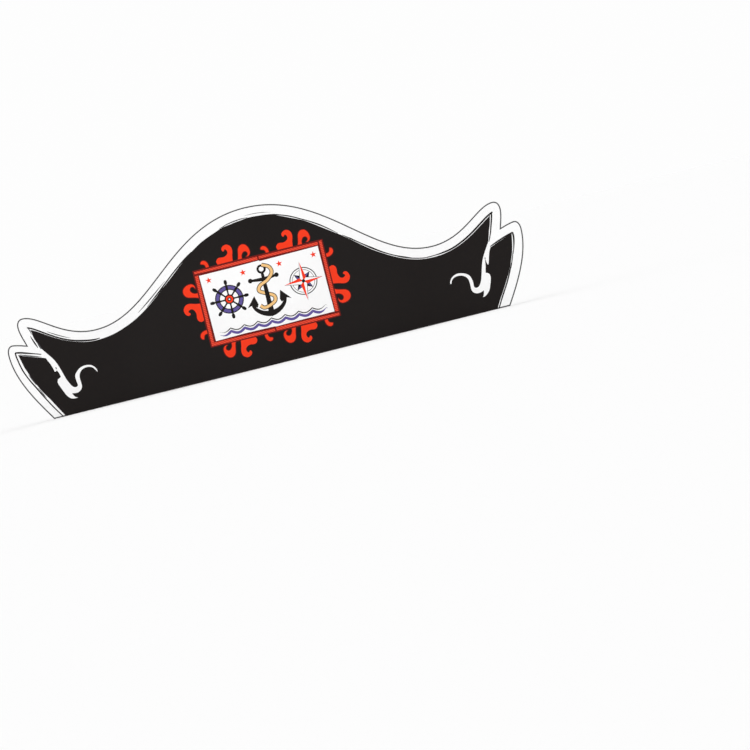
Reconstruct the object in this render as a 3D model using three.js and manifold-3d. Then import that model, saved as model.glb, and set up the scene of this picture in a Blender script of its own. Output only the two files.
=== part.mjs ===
// Paper pirate hat: two die-cut cards of one outline, front and back, glued face to face at both
// ends and bowed apart between the glued ends, which opens the hat for the head.
// Millimetres. +X runs along the hat to the right of a viewer at the front, -Y is the front, +Z is up.
// The origin is under the middle of the hat, on the surface that its straight edges rest on.
import * as THREE from "three";
import { mergeVertices } from "three/addons/utils/BufferGeometryUtils.js";
import Module from "manifold-3d";

const wasm = await Module();
wasm.setup();

// Driving dimensions of one card as it stands, seen from the front
const LENGTH = 457; // from tip to tip, 18 inches
const REST_LENGTH = 406; // of the straight bottom edge
const CROWN_HEIGHT = 138;
const VALLEY_HEIGHT = 66.9; // lowest points of the top edge, either side of the crown
const VALLEY_AT = 149.3; // from the centre line
const UPPER_TIP_HEIGHT = 91.2;
const CARD = 1; // thickness of the wall

// How the two cards are put together
const SEAM_AT = 148; // along the bowed card from its middle to the glued end: a loop of 592 for the head
const BOW_TURN = THREE.MathUtils.degToRad(24); // steepest turn of the bowed card, half way to the seam
const GLUE_GAP = 0.3; // between the glued ends

// How finely curves are cut into straight pieces
const BOW_STEPS = 24; // facets of the bow from the middle to one seam
const PLAN_STEPS = 60; // slices of the sum that follows the bow
const MARGIN = 2; // by which a cutting shape passes what it cuts

const TIP = LENGTH / 2;

// Half of the front view's outline, from the bottom corner round the two tips to the top of the crown.
// Each row is a curve: its two handles, where it ends, and its number of straight pieces.
// A place is [distance from the centre line, height].
const HALF_OUTLINE = [
  { part: "end edge", leave: [215.9, 20.2], arrive: [TIP, 41.5], end: [TIP, 62.6], pieces: 12 },
  { part: "lower tip", leave: [TIP, 67.9], arrive: [226, 71.4], end: [221.9, 70.5], pieces: 6 },
  { part: "notch, lower side", leave: [218.4, 69.7], arrive: [214.6, 68.4], end: [211.1, 67], pieces: 3 },
  { part: "notch, upper side", leave: [212.9, 72.6], arrive: [215.1, 79.1], end: [215.1, 83.8], pieces: 4 },
  { part: "upper tip", leave: [215.1, 88], arrive: [213, UPPER_TIP_HEIGHT],
    end: [209.2, UPPER_TIP_HEIGHT], pieces: 6 },
  { part: "brim", leave: [194.1, UPPER_TIP_HEIGHT], arrive: [179.4, VALLEY_HEIGHT],
    end: [VALLEY_AT, VALLEY_HEIGHT], pieces: 14 },
  { part: "crown", leave: [97.6, VALLEY_HEIGHT], arrive: [69, CROWN_HEIGHT],
    end: [0, CROWN_HEIGHT], pieces: 26 },
];

// The right half of the outline as straight pieces, from the bottom corner to the crown.
function halfOutline() {
  let from = new THREE.Vector2(REST_LENGTH / 2, 0);
  const points = [from];
  for (const row of HALF_OUTLINE) {
    const end = new THREE.Vector2(...row.end);
    const curve = new THREE.CubicBezierCurve(
      from, new THREE.Vector2(...row.leave), new THREE.Vector2(...row.arrive), end);
    points.push(...curve.getPoints(row.pieces).slice(1));
    from = end;
  }
  return points;
}

// Where a point of the bowed card lies in plan. It turns away from straight by a sine that is
// nothing at the middle and at the seam, so the card leaves its glued end without a crease.
function plan(along) {
  const reach = Math.min(Math.abs(along), SEAM_AT);
  const slice = reach / PLAN_STEPS;
  let across = Math.max(Math.abs(along) - SEAM_AT, 0);
  let fall = 0;
  for (let i = 0; i < PLAN_STEPS; i++) {
    const turn = BOW_TURN * Math.sin((Math.PI * (i + 0.5) * slice) / SEAM_AT);
    across += Math.cos(turn) * slice;
    fall += Math.sin(turn) * slice;
  }
  const turn = BOW_TURN * Math.sin((Math.PI * reach) / SEAM_AT);
  return { x: Math.sign(along) * across, fall, turn: Math.sign(along) * turn };
}

const SEAM = plan(SEAM_AT);
const BOW_DEPTH = SEAM.fall; // from the glued ends to the middle of the bow

function asSolid(geometry) {
  const bare = geometry.index ? geometry.toNonIndexed() : geometry;
  bare.deleteAttribute("normal");
  bare.deleteAttribute("uv");
  const merged = mergeVertices(bare, 1e-4);
  return new wasm.Manifold(new wasm.Mesh({
    numProp: 3,
    vertProperties: merged.attributes.position.array,
    triVerts: new Uint32Array(merged.index.array),
  }));
}

function asGeometry(solid) {
  const mesh = solid.getMesh();
  const geometry = new THREE.BufferGeometry();
  geometry.setAttribute("position", new THREE.BufferAttribute(mesh.vertProperties, 3));
  geometry.setIndex(new THREE.BufferAttribute(mesh.triVerts, 1));
  geometry.computeVertexNormals();
  return geometry;
}

// The front card's wall as a bowed strip of full height, before its outline is cut.
function bowedStrip() {
  const reach = TIP + SEAM_AT - SEAM.x + MARGIN; // the bow makes a card longer than its front view
  const stations = [-reach];
  for (let i = -BOW_STEPS; i <= BOW_STEPS; i++) stations.push((SEAM_AT * i) / BOW_STEPS);
  stations.push(reach);
  const side = (offset) => stations.map((along) => {
    const { x, fall, turn } = plan(along);
    const depth = GLUE_GAP / 2 + CARD / 2 + BOW_DEPTH - fall;
    return new THREE.Vector2(x + offset * Math.sin(turn), -depth - offset * Math.cos(turn));
  });
  const strip = new THREE.Shape([...side(CARD / 2), ...side(-CARD / 2).reverse()]);
  const height = CROWN_HEIGHT + 2 * MARGIN;
  const geometry = new THREE.ExtrudeGeometry(strip, { depth: height, bevelEnabled: false });
  return asSolid(geometry.translate(0, 0, -MARGIN));
}

// The front view's outline, driven through the wall.
function outlineCutter() {
  const right = halfOutline();
  const left = right.slice(0, -1).reverse().map((p) => new THREE.Vector2(-p.x, p.y));
  const depth = BOW_DEPTH + GLUE_GAP + CARD + MARGIN;
  const cutter = new THREE.ExtrudeGeometry(new THREE.Shape([...right, ...left]), {
    depth, bevelEnabled: false });
  return asSolid(cutter.rotateX(Math.PI / 2));
}

const printedCard = () => new THREE.MeshStandardMaterial({
  color: 0x231f20, roughness: 0.45, metalness: 0 });

const hat = new THREE.Group();
hat.name = "paper_pirate_hat";
const cardShape = asGeometry(bowedStrip().intersect(outlineCutter()));

const frontPanel = new THREE.Mesh(cardShape, printedCard());
frontPanel.name = "front_panel";
hat.add(frontPanel);

const backPanel = new THREE.Mesh(cardShape, printedCard());
backPanel.name = "back_panel";
backPanel.rotation.z = Math.PI;
hat.add(backPanel);

export default hat;
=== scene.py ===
import math

import bpy
import numpy as np
from mathutils import Matrix, Vector
from mathutils.geometry import delaunay_2d_cdt


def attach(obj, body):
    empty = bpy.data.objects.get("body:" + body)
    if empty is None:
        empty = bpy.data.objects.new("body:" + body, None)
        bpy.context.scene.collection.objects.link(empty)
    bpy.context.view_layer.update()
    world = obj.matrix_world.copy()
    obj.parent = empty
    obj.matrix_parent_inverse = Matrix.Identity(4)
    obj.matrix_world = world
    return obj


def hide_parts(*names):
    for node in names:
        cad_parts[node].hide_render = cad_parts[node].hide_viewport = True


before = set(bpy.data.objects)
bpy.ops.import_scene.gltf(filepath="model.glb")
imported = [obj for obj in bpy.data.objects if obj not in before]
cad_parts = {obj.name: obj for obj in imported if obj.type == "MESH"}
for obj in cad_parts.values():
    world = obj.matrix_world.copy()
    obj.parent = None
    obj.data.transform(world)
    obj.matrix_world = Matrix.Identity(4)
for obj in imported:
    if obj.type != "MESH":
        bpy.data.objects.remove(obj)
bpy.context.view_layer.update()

mm = 0.001

# Drawings are in millimetres as the front view shows them: [along from the middle, up from the floor].


# a smooth line through a few rows of numbers, however many columns they have
def smooth(rows, closed=False, perSpan=6):
    p = np.array(rows, float)
    last = len(p) - 1
    t = np.linspace(0, 1, perSpan, endpoint=False)[:, None]
    spans = []
    for i in range(len(p) if closed else last):
        near = [k % len(p) if closed else min(max(k, 0), last) for k in range(i - 1, i + 3)]
        a, b, c, d = p[near]
        spans.append(b + 0.5 * t * (c - a + t * (2 * a - 5 * b + 4 * c - d + t * (3 * (b - c) + d - a))))
    return np.concatenate(spans if closed else spans + [p[-1:]])


# a pen stroke: rows of [along, up, width]
def brush(rows, perSpan=6):
    line = smooth(rows, perSpan=perSpan)
    way = np.gradient(line[:, :2], axis=0)
    way /= np.linalg.norm(way, axis=1)[:, None]
    side = np.stack([-way[:, 1], way[:, 0]], 1) * line[:, 2:] / 2
    return np.concatenate([line[:, :2] + side, (line[:, :2] - side)[::-1]])


def disc(centre, radius, corners=28):
    turns = np.linspace(0, 2 * math.pi, corners, endpoint=False)
    return np.array(centre) + radius * np.stack([np.cos(turns), np.sin(turns)], 1)


# spikes of two radii in turn, such as a star's or a compass rose's
def star(centre, outer, inner, points, turn=0.0):
    turns = math.pi / 2 + turn + np.arange(2 * points) * math.pi / points
    radii = np.where(np.arange(2 * points) % 2 == 0, outer, inner)
    return np.array(centre) + np.stack([radii * np.cos(turns), radii * np.sin(turns)], 1)


# a drawing stretched along, turned and moved
def placed(loop, at, turn=0.0, stretch=1.0):
    x, y = (np.array(loop, float) * (stretch, 1)).T
    c, s = math.cos(turn), math.sin(turn)
    return np.stack([at[0] + c * x - s * y, at[1] + s * x + c * y], 1)


# a loop or line moved to its left by a distance, with its corners kept sharp
def movedLeft(points, distance, closed=True):
    p = np.array(points, float)
    before, after = np.roll(p, 1, 0), np.roll(p, -1, 0)
    if not closed:
        before[0], after[-1] = p[0], p[-1]
    sides = []
    for a, b in ((before, p), (p, after)):
        way = b - a
        length = np.maximum(np.linalg.norm(way, axis=1), 1e-9)[:, None]
        sides.append(np.stack([-way[:, 1], way[:, 0]], 1) / length)
    both = sides[0] + sides[1]
    both /= np.linalg.norm(both, axis=1)[:, None]
    sharpness = np.maximum((both * np.where(sides[1].any(1)[:, None], sides[1], sides[0])).sum(1), 0.5)
    return p + both * (distance / sharpness)[:, None]


# The card: its size, how it is bowed, and half of the front view's outline from the bottom corner
# round the two tips to the crown
card = {
    "thick": 1.0,
    "seamAt": 148.0,                     # where the glued end begins, along the card
    "steepestTurn": math.radians(24),
    "glueGap": 0.3,
    "restCorner": 203.0,                 # end of the straight bottom edge
    "roundedEdge": 0.12,                 # how far the die rounds the cut edge
    "facet": 4.0,                        # the bow's step along the card
    "facetLine": (-5.0, 145.0),          # a line between facets, from below the card to above it
    "bowSteps": 240,                     # steps of the sum that bends the card
    "unrollSteps": 400,                  # and of the one that unrolls a drawing
    "curveSteps": (20, 8, 44),           # pieces of each curve of the end edge, tips and top edge
    "endEdge": [((215.9, 20.2), (228.5, 41.5), (228.5, 62.6))],
    "tips": [
        ((228.5, 67.9), (226.0, 71.4), (221.9, 70.5)),
        ((218.4, 69.9), (214.8, 68.9), (211.4, 67.7)),
        ((213.1, 73.1), (215.1, 79.1), (215.1, 83.8)),
        ((215.1, 88.0), (213.0, 91.2), (209.2, 91.2)),
    ],
    "topEdge": [
        ((194.1, 91.2), (179.4, 66.9), (149.3, 66.9)),
        ((97.6, 66.9), (69.0, 138.0), (0.0, 138.0)),
    ],
}


# points on a chain of curves, each given by its two handles and its end
def curveChain(start, rows, steps):
    t = np.linspace(0, 1, steps + 1)[1:, None]
    a, points = np.array(start), [np.array([start], float)]
    for row in rows:
        b, c, d = np.array(row)
        points.append(a * (1 - t) ** 3 + 3 * b * t * (1 - t) ** 2 + 3 * c * t * t * (1 - t) + d * t ** 3)
        a = d
    return np.concatenate(points)


endSteps, tipSteps, topSteps = card["curveSteps"]
endEdge = curveChain((card["restCorner"], 0.0), card["endEdge"], endSteps)
tips = curveChain(endEdge[-1], card["tips"], tipSteps)
topEdge = curveChain(tips[-1], card["topEdge"], topSteps)
rightHalf = np.concatenate([endEdge, tips[1:], topEdge[1:]])
outline = np.concatenate([rightHalf, rightHalf[-2::-1] * (-1, 1)])
print("outline:", len(outline), "points")


# The inks, by the names of their materials. Each face of a card takes one of these or the plain board.
# the grey ink also paints the shade along the cut edge
white, black, grey, indigo, tan = "whiteCoat", "blackInk", "greyInkAndEdgeShade", "indigoInk", "tanInk"
red, darkRed, frameRed = "redInk", "darkRedInk", "frameRedInk"

# The print that both cards share: a black field inside a white border, split at each end by a white
# hook that runs down from the notch
border = {
    "paintedEdgeShade": 1.2,                      # painted shade of the cut edge: a dark grey line round it
    "inkSpread": 0.22,                   # by which the black ink runs over its drawn edge
    # the field's top, from tip to tip: rows of [along, distance inside the cut edge]
    "fieldTop": [
        (-203.8, 10.2), (-190, 9.9), (-176, 9.8), (-165, 9.7), (-154, 9.9), (-146, 9.6), (-128, 9.5),
        (-118, 9.9), (-104, 10.1), (-92, 9.9), (-80, 10.2), (-70, 9.9), (-60, 9.6), (-48, 9.5),
        (-34, 10.2), (-24, 9.8), (-18, 10.4), (-6, 10.3), (0, 9.8), (24, 9.4), (30, 10), (41, 10.6),
        (48, 10.3), (52, 10), (56, 10.2), (66, 10.5), (74, 10.3), (82, 9.8), (90, 9.8), (104, 10.3),
        (112, 10.1), (120, 10.1), (137, 10.4), (150, 10.2), (168, 10), (203.3, 10.1),
    ],
    # its ends, from the bottom edge round the hook to the upper tip. Each row ends at a corner, where
    # the next one starts.
    "leftEnd": [
        [(-190, -4), (-192.9, 1.4), (-197.4, 9.3), (-201.5, 16.7), (-205.4, 22.9), (-208.2, 27.9),
         (-210.8, 33.4), (-213.3, 38.8), (-215.3, 44.6), (-217.1, 49.5), (-218.3, 55), (-219.7, 61)],
        [(-214.8, 58.7), (-208, 56.3), (-202.7, 54.5), (-197.5, 52.7)],
        [(-196.4, 49.9), (-195.1, 47.3), (-194, 43.9), (-193.2, 40.9), (-192.8, 39.3)],
        [(-191.6, 39.5), (-190.7, 40)],
        [(-189.7, 37.9), (-189.1, 35.6), (-189, 34.3), (-189.6, 33.7)],
        [(-191.2, 33), (-192.1, 31.9), (-192.6, 30.5), (-192.4, 28.5), (-191.1, 25), (-189.5, 21.1),
         (-187.9, 17.5), (-186, 14.9), (-183.8, 13.4), (-180.7, 12.9), (-177.5, 13.1)],
        [(-180.4, 14.4), (-181.5, 15.9), (-182.4, 17.7)],
        [(-179.6, 17.2), (-176.7, 17.5), (-174, 19.3), (-172.7, 21.7), (-172.6, 24.9), (-172.8, 28.1),
         (-172.6, 30.7), (-171.4, 33.5), (-168.9, 35.7), (-165.9, 36.6), (-162.8, 36.4), (-160.1, 35),
         (-158.4, 32.8), (-157.2, 30.6)],
        [(-156.5, 31.1), (-156.9, 33.4), (-158.5, 36), (-160.9, 37.9), (-164.2, 38.8), (-168, 38.7),
         (-171.4, 37.6), (-174.2, 35.4), (-176, 33.4), (-176.8, 31), (-176.7, 27.8), (-176.3, 24.5),
         (-176.5, 23.3), (-177.7, 22.6), (-179.5, 22.9), (-181.1, 24.4), (-182.6, 27.1), (-184.4, 31.3),
         (-185.8, 36.1), (-187.2, 40.9), (-188.4, 44.7), (-190, 48.6), (-192, 52), (-194.9, 56.1),
         (-198.1, 60.5), (-200, 64.5), (-201.3, 68.5), (-202.6, 73.1), (-203.8, 77), (-204.4, 79.3)],
    ],
    "rightEnd": [
        [(188.9, -4), (191.2, 0.1), (195.4, 7.3), (198.9, 12.7), (202.7, 18.8), (206.1, 24.6),
         (209.1, 29.9), (211.5, 35.1), (213.5, 40.1), (215.2, 44.5), (216.5, 49), (217.6, 54.1),
         (218.3, 58), (218.8, 61)],
        [(213.9, 58.8), (208.6, 56.9), (203.1, 54.8), (198.4, 53)],
        [(196.7, 49.7), (195.4, 45.8), (194.4, 42.3), (193.6, 40.1), (192.9, 39), (192.1, 40),
         (191.7, 42.3), (191.5, 43.7)],
        [(191.1, 41.4), (190.6, 38.4), (189.8, 35.4), (189.3, 33.1)],
        [(191, 32.4), (192.4, 30.7), (192.5, 27.7), (191.5, 24.2), (190.4, 21.2), (188.9, 17.7),
         (186.7, 15.2), (184.1, 13.3), (181.3, 12.7)],
        [(182.5, 14.5), (183.2, 16.3), (183.6, 18.3)],
        [(180.9, 17.3), (177.6, 17.3), (174.9, 18.7), (173.5, 21.3), (173.4, 24.7), (173.4, 28.1),
         (172.8, 31.5), (170.7, 34.1), (167.7, 35.5), (164.2, 35.8), (161.3, 35), (159.3, 33.1),
         (158.3, 30.7)],
        [(156.9, 30.8), (157.5, 33.3), (159.4, 35.9), (162, 37.5), (165.5, 38.3), (169.4, 37.6),
         (172.8, 36.1), (175.4, 33.5), (176.6, 29.8), (176.8, 26.4), (176.7, 23.8), (177.9, 22.5),
         (179.9, 22.8), (181.7, 24.5), (183.5, 27.7), (184.8, 31.6), (186.1, 35.9), (187.4, 40.2),
         (188.9, 44.3), (191, 48.3), (193.4, 52.2), (195.7, 55.7), (197.6, 58.9), (198.9, 62.7),
         (200.5, 67.8), (202.4, 72.8), (204.4, 80.4)],
    ],
    # loose pen strokes that follow the top edge: rows of [along, distance inside the cut edge, width]
    "topPen": [
        (black, [(-204.6, 8.6, 1.1), (-200, 8.6, 1.3), (-192, 8.7, 1.3), (-176, 8.8, 1.3),
                 (-168, 8.7, 1.4), (-160, 8.5, 1.6), (-152, 8.7, 1.3), (-148, 8.4, 0.5)]),
        (grey, [(-187.2, 6.9, 0.3), (-182, 6.8, 0.8), (-175, 6.8, 0.7), (-169.8, 6.9, 0.2)]),
        (grey, [(-114, 7.2, 0.3), (-108, 7, 0.8), (-102, 7, 1), (-94, 7.1, 0.8), (-86, 7.5, 0.2)]),
        (black, [(-107, 9.4, 0.3), (-100, 9.1, 0.9), (-92, 9.1, 1.2), (-84, 8.9, 1.1), (-78, 8.9, 1.1),
                 (-72, 9, 1.2), (-64, 9.1, 1), (-58, 9.3, 0.4)]),
        (black, [(-28, 9.4, 0.3), (-20, 9, 0.8), (-14, 9, 0.9), (-6, 9, 0.8), (1, 9.3, 0.3)]),
        (grey, [(-2, 7.3, 0.1), (6, 7.1, 0.5), (16, 7, 0.5), (23, 7.2, 0.1)]),
        (black, [(14, 9.4, 0.3), (26, 9.1, 1), (34, 9.1, 0.9), (40, 9.1, 1.1), (48, 9.3, 0.9),
                 (56, 9.1, 0.9), (64, 8.9, 1.1), (72, 9.1, 0.9), (79, 9.4, 0.3)]),
        (black, [(82, 9.2, 0.3), (88, 8.9, 1.1), (96, 8.9, 0.9), (104, 8.9, 1.5), (112, 9, 1.1),
                 (120, 8.9, 0.9), (127, 8.9, 1.5), (131, 8.9, 0.9), (134, 9, 0.3)]),
        (grey, [(128, 9.5, 0.3), (134, 9.2, 1), (142, 9.3, 0.9), (149, 9, 0.4)]),
        (black, [(144, 8.8, 0.3), (151, 8.7, 0.9), (157, 8.6, 1.4), (163, 8.8, 1.5), (170, 8.6, 1.5),
                 (185, 8.6, 1.6), (200, 8.6, 1.5), (205.4, 8.5, 1.3)]),
    ],
    # and those beside the field's ends: rows of [along, up, width]
    "endPen": [
        (black, [(-221.9, 63.5, 1.3), (-217.6, 62.6, 1.5), (-212.7, 61.1, 1.4), (-207.3, 59.3, 1),
                 (-200.4, 57, 0.8)]),
        (black, [(-221.9, 63.7, 1.2), (-221.9, 60.3, 1.2), (-221.2, 56, 1.2), (-220.4, 51.7, 1.2),
                 (-219.1, 46.6, 1.2), (-217.1, 41.3, 1.1), (-214.2, 35, 1.2), (-211, 29.1, 1.3),
                 (-208.3, 23.6, 1.2), (-204.9, 17.2, 1.1), (-201.8, 11.6, 1.1), (-198.3, 5.9, 1),
                 (-195.7, 1.9, 1), (-193.7, -1.1, 0.8)]),
        (grey, [(-218.6, 61.2, 0.4), (-213.6, 59.1, 1), (-206.8, 56.8, 1), (-200.4, 54.5, 0.3)]),
        (grey, [(-215.4, 42.6, 0.3), (-213.4, 37.9, 0.8), (-210.9, 32.4, 0.5)]),
        (grey, [(-209.8, 29.4, 0.3), (-207.4, 24.2, 0.8), (-205, 19.4, 0.3)]),
        (black, [(-205.8, 74.6, 0.4), (-204.6, 70.7, 1.1), (-203.3, 67.1, 1.2), (-201.8, 63.1, 0.5)]),
        (grey, [(-205.9, 81.6, 0.8), (-205.3, 79.6, 0.8), (-204.8, 77.6, 0.6), (-204.4, 75.6, 0.3)]),
        (black, [(-203.9, 76.4, 0.3), (-202.9, 72.4, 0.9), (-202, 69.8, 1.1), (-201.2, 67.4, 0.8)]),
        (grey, [(-201.3, 67.6, 0.6), (-200.7, 65.6, 1.1), (-200, 63.6, 1.2), (-199.2, 61.4, 0.9)]),
        (grey, [(-191, 43.3, 0.5), (-190.8, 42.3, 0.9), (-190.8, 41.3, 0.4)]),
        (black, [(206.2, 82, 1.4), (205.7, 79.1, 1.4), (204.5, 75, 1.3), (203, 70.3, 1.2),
                 (201.3, 65.2, 1), (199.4, 60.7, 0.8), (198.2, 58.2, 0.4)]),
        (black, [(198.3, 54, 0.7), (203.2, 55.9, 1.3), (208.8, 58, 1.3), (214.3, 59.8, 1.3),
                 (220.1, 61.3, 1.3)]),
        (black, [(219.9, 61.4, 1.4), (220, 58.2, 1.5), (219.5, 54.5, 1.4), (218.5, 50.4, 1.1),
                 (217.4, 46.8, 0.8), (215.9, 42.8, 0.5)]),
        (grey, [(216.6, 45.8, 0.4), (215, 41.1, 0.9), (213.2, 36.4, 0.9), (211.3, 31.7, 0.6)]),
        (black, [(212.8, 36, 0.9), (210.2, 30.3, 1.1), (207.2, 24.4, 1.2), (203.9, 18.5, 1.2),
                 (200.1, 12.5, 1.2), (196.4, 6.4, 1.1), (193.8, 1.9, 1), (191.9, -1.3, 0.9)]),
        (black, [(191.7, 46.1, 0.5), (191.5, 44.9, 0.8), (191.4, 44.2, 0.4)]),
    ],
}


# points that follow the top edge, from rows of [along, distance inside the cut edge, ...]
def alongTop(rows):
    rows = np.array(rows, float)
    edge = np.concatenate([topEdge * (-1, 1), topEdge[-2::-1]])
    inward = movedLeft(edge, -1.0, closed=False) - edge
    x = np.append(np.arange(rows[0, 0], rows[-1, 0], 2.0), rows[-1, 0])    # every 2 mm
    up, inX, inY = [np.interp(x, edge[:, 0], column) for column in (edge[:, 1], *inward.T)]
    inside, *others = [np.interp(x, rows[:, 0], column) for column in rows[:, 1:].T]
    return np.column_stack([x + inX * inside, up + inY * inside, *others])


# smooth lines that meet at corners: each row starts where the one before ends
def corneredLine(rows):
    starts = [[]] + [row[-1:] for row in rows]
    return np.concatenate([smooth(start + row, perSpan=4) for start, row in zip(starts, rows)])


def drawBorder(paint):
    # painted shade: the grey left round the white border is a dark line along the cut edge
    paint(grey, outline)
    paint(white, movedLeft(outline, border["paintedEdgeShade"]))

    left, right = corneredLine(border["leftEnd"]), corneredLine(border["rightEnd"])
    top = alongTop(border["fieldTop"])
    top = top[(top[:, 0] > left[-1, 0] + 1) & (top[:, 0] < right[-1, 0] - 1)]
    field = np.concatenate([left, top, right[::-1]])
    apart = np.linalg.norm(field - np.roll(field, 1, 0), axis=1)
    field = field[apart > 0.01]          # each corner is there twice
    paint(black, movedLeft(field, border["inkSpread"]))

    for ink, rows in border["topPen"]:
        paint(ink, brush(alongTop(rows), perSpan=1))
    for ink, rows in border["endPen"]:
        paint(ink, brush(rows, 4))


# The front's print: a framed plate with scrolls round it
plaque = {
    # the frame, drawn by hand: dark ink under all of it, the bright part of each bar, and the plate
    "frame": [(-56.4, 27.3), (-25, 27.1), (28, 26.8), (58.7, 27.2), (58.8, 60), (58.8, 95.3),
              (28, 95.3), (-25, 95.6), (-56.2, 95.2), (-56.5, 61)],
    "bars": [
        [(-55.3, 28.4), (-52.85, 28.4), (-52.4, 90.4), (-55.1, 90.4)],
        [(54.75, 31.9), (57.6, 31.9), (57.75, 94.4), (55.45, 94.4)],
        [(-55.3, 28.3), (0.7, 28), (0.7, 30.35), (-55.3, 31.1)],
        [(1.9, 28), (57.6, 28), (57.6, 30.2), (1.9, 31)],
        [(-55.1, 92.1), (0.6, 91.25), (0.6, 94.05), (-55.1, 94)],
        [(1.9, 91.8), (54.1, 91.3), (54.1, 93.9), (1.9, 94)],
    ],
    "plate": [(-50.9, 31.8), (-25, 32.4), (1.5, 32.1), (1.8, 31.7), (28, 32.1), (54.05, 32.1),
              (53.6, 58), (53.5, 90.4), (28, 90.05), (1.8, 89.7), (1.5, 90.4), (-25, 89.9),
              (-51.6, 89.9), (-51.1, 61)],
    # inks laid over each other, each run this far to the left of its drawn loop
    "scrollInks": [(darkRed, 0.2), (red, -0.35)],
    # scrolls that stand on a bar: rows of [along the bar, away from it]
    "scrolls": [
        [(-18.9, -0.7), (-19, 1.7), (-19.8, 3.3), (-21.3, 3.9), (-22.6, 4.5), (-22, 6.5), (-19.8, 7.3),
         (-17.5, 6.2), (-16.2, 4.1), (-15.7, 1.9), (-15.8, -0.7)],
        [(4.7, -0.7), (4.9, 1.9), (5.5, 5.4), (6.4, 8.8), (6.4, 11.9), (5.2, 14.1), (3, 15.4),
         (0.9, 15.2), (-0.8, 14.2), (-1.6, 12.7), (-1.2, 11.2), (-0.5, 11.1), (0.4, 12.3), (1.8, 12),
         (2.8, 9.7), (2.2, 7.5), (0.2, 6), (-2.3, 5.4), (-4.9, 5.8), (-7, 5.4), (-8.4, 3.6),
         (-8.2, 1.8), (-7.5, 0.4), (-7.2, -0.7)],
        [(8.6, -0.7), (9.7, 1.6), (10.4, 4.1), (11, 7.1), (11.7, 9.8), (13.4, 12), (15.8, 12.9),
         (18.4, 12.3), (20.4, 10.1), (21.4, 7.3), (21.5, 4.4), (20.4, 2.2), (18.4, 1.2), (16.6, 1.6),
         (18.3, 2.7), (18.8, 4.4), (17.9, 5.8), (16.3, 6.1), (14.8, 5), (13.8, 3.1), (13.6, 1),
         (13.8, -0.7)],
    ],
    # where a set of scrolls stands: [place, turn in degrees, stretch along the bar]
    "scrollSets": [
        ((-25.5, 94.7), 0, 1), ((27.5, 94.6), 0, 1), ((-25, 27.7), 180, 1),
        ((28.1, 27.6), 180, 1), ((-55.8, 60.8), 90, 1.12), ((58.4, 61.4), -90, 1.12),
    ],
}

# what the plate shows: a ship's wheel, an anchor with a rope, a compass rose, stars and waves
wheel = {
    "centre": (-31, 64.1),
    "rims": [(black, 12.4), (indigo, 11.5), (black, 8.9), (white, 8.1)],
    "spokes": 8,
    "spoke": [(2, 0, 1.7), (6.5, 0, 1.3), (8.8, 0, 2), (11.6, 0, 2), (12.6, 0, 1.5), (14.2, 0, 2.8),
              (16.2, 0, 2.4), (17, 0, 1)],
    "hubs": [(black, 4.2), (red, 3.2), (black, 1.6), (white, 0.7)],
}
anchor = {
    "rings": [((1.6, 82.8), 4, black), ((1.6, 82.8), 2.1, white)],
    "bars": [
        [(1.6, 79.2, 2.4), (1.6, 69.6, 3.2), (1.6, 55.6, 4), (1.6, 45.2, 5)],
        [(-9.4, 74.8, 2), (1.6, 74, 3.2), (12.6, 74.8, 2)],
        [(-13.6, 56.6, 1.8), (-11, 50.2, 3), (-5.4, 45.6, 4), (1.6, 43.8, 5), (8.6, 45.6, 4),
         (14.2, 50.2, 3), (16.8, 56.6, 1.8)],
    ],
    "stockEnds": [(-9.9, 74.9), (13.1, 74.9)],
    "stockEnd": 2,
    "fluke": [(13, 61.6), (21, 52.4), (17.4, 53.8), (12.2, 51.2), (11, 53.8)],
    "crown": [(-2.6, 45.2), (1.6, 40.8), (5.8, 45.2)],
    "rope": [(2.6, 86.2), (8.4, 83.2), (9.6, 77.8), (4.6, 72.6), (-2.6, 69.2), (-4.6, 65), (0.6, 61.6),
             (6.8, 58.2), (7, 53.8), (2, 50.8), (-3.4, 49.8), (-6.4, 52.4)],
    "ropeInks": [(black, 3.6), (tan, 2.3)],
    "shankOver": [(1.6, 66.6, 3.4), (1.6, 57.6, 3.9)],
}
rose = {"centre": (34.4, 64.1), "rings": [(black, 12), (white, 11.2), (black, 9.9), (white, 9.5)],
        "long": 17, "short": 9.8, "waist": 4.2, "hub": 1.5, "penLine": 0.55}
seaAndStars = {"waves": [(indigo, 35.8, 2.3), (black, 38.5, 0.9)], "from": -46, "to": 50,
               "length": 12, "height": 1.3, "taper": 8, "thinnest": 0.15,
               "stars": [(-14.4, 83.6), (17.6, 83.6), (-44.5, 84.1), (48, 84.1)],
               "star": (2.9, 1.2, 5)}    # radius of its points, radius between them, how many


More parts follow.
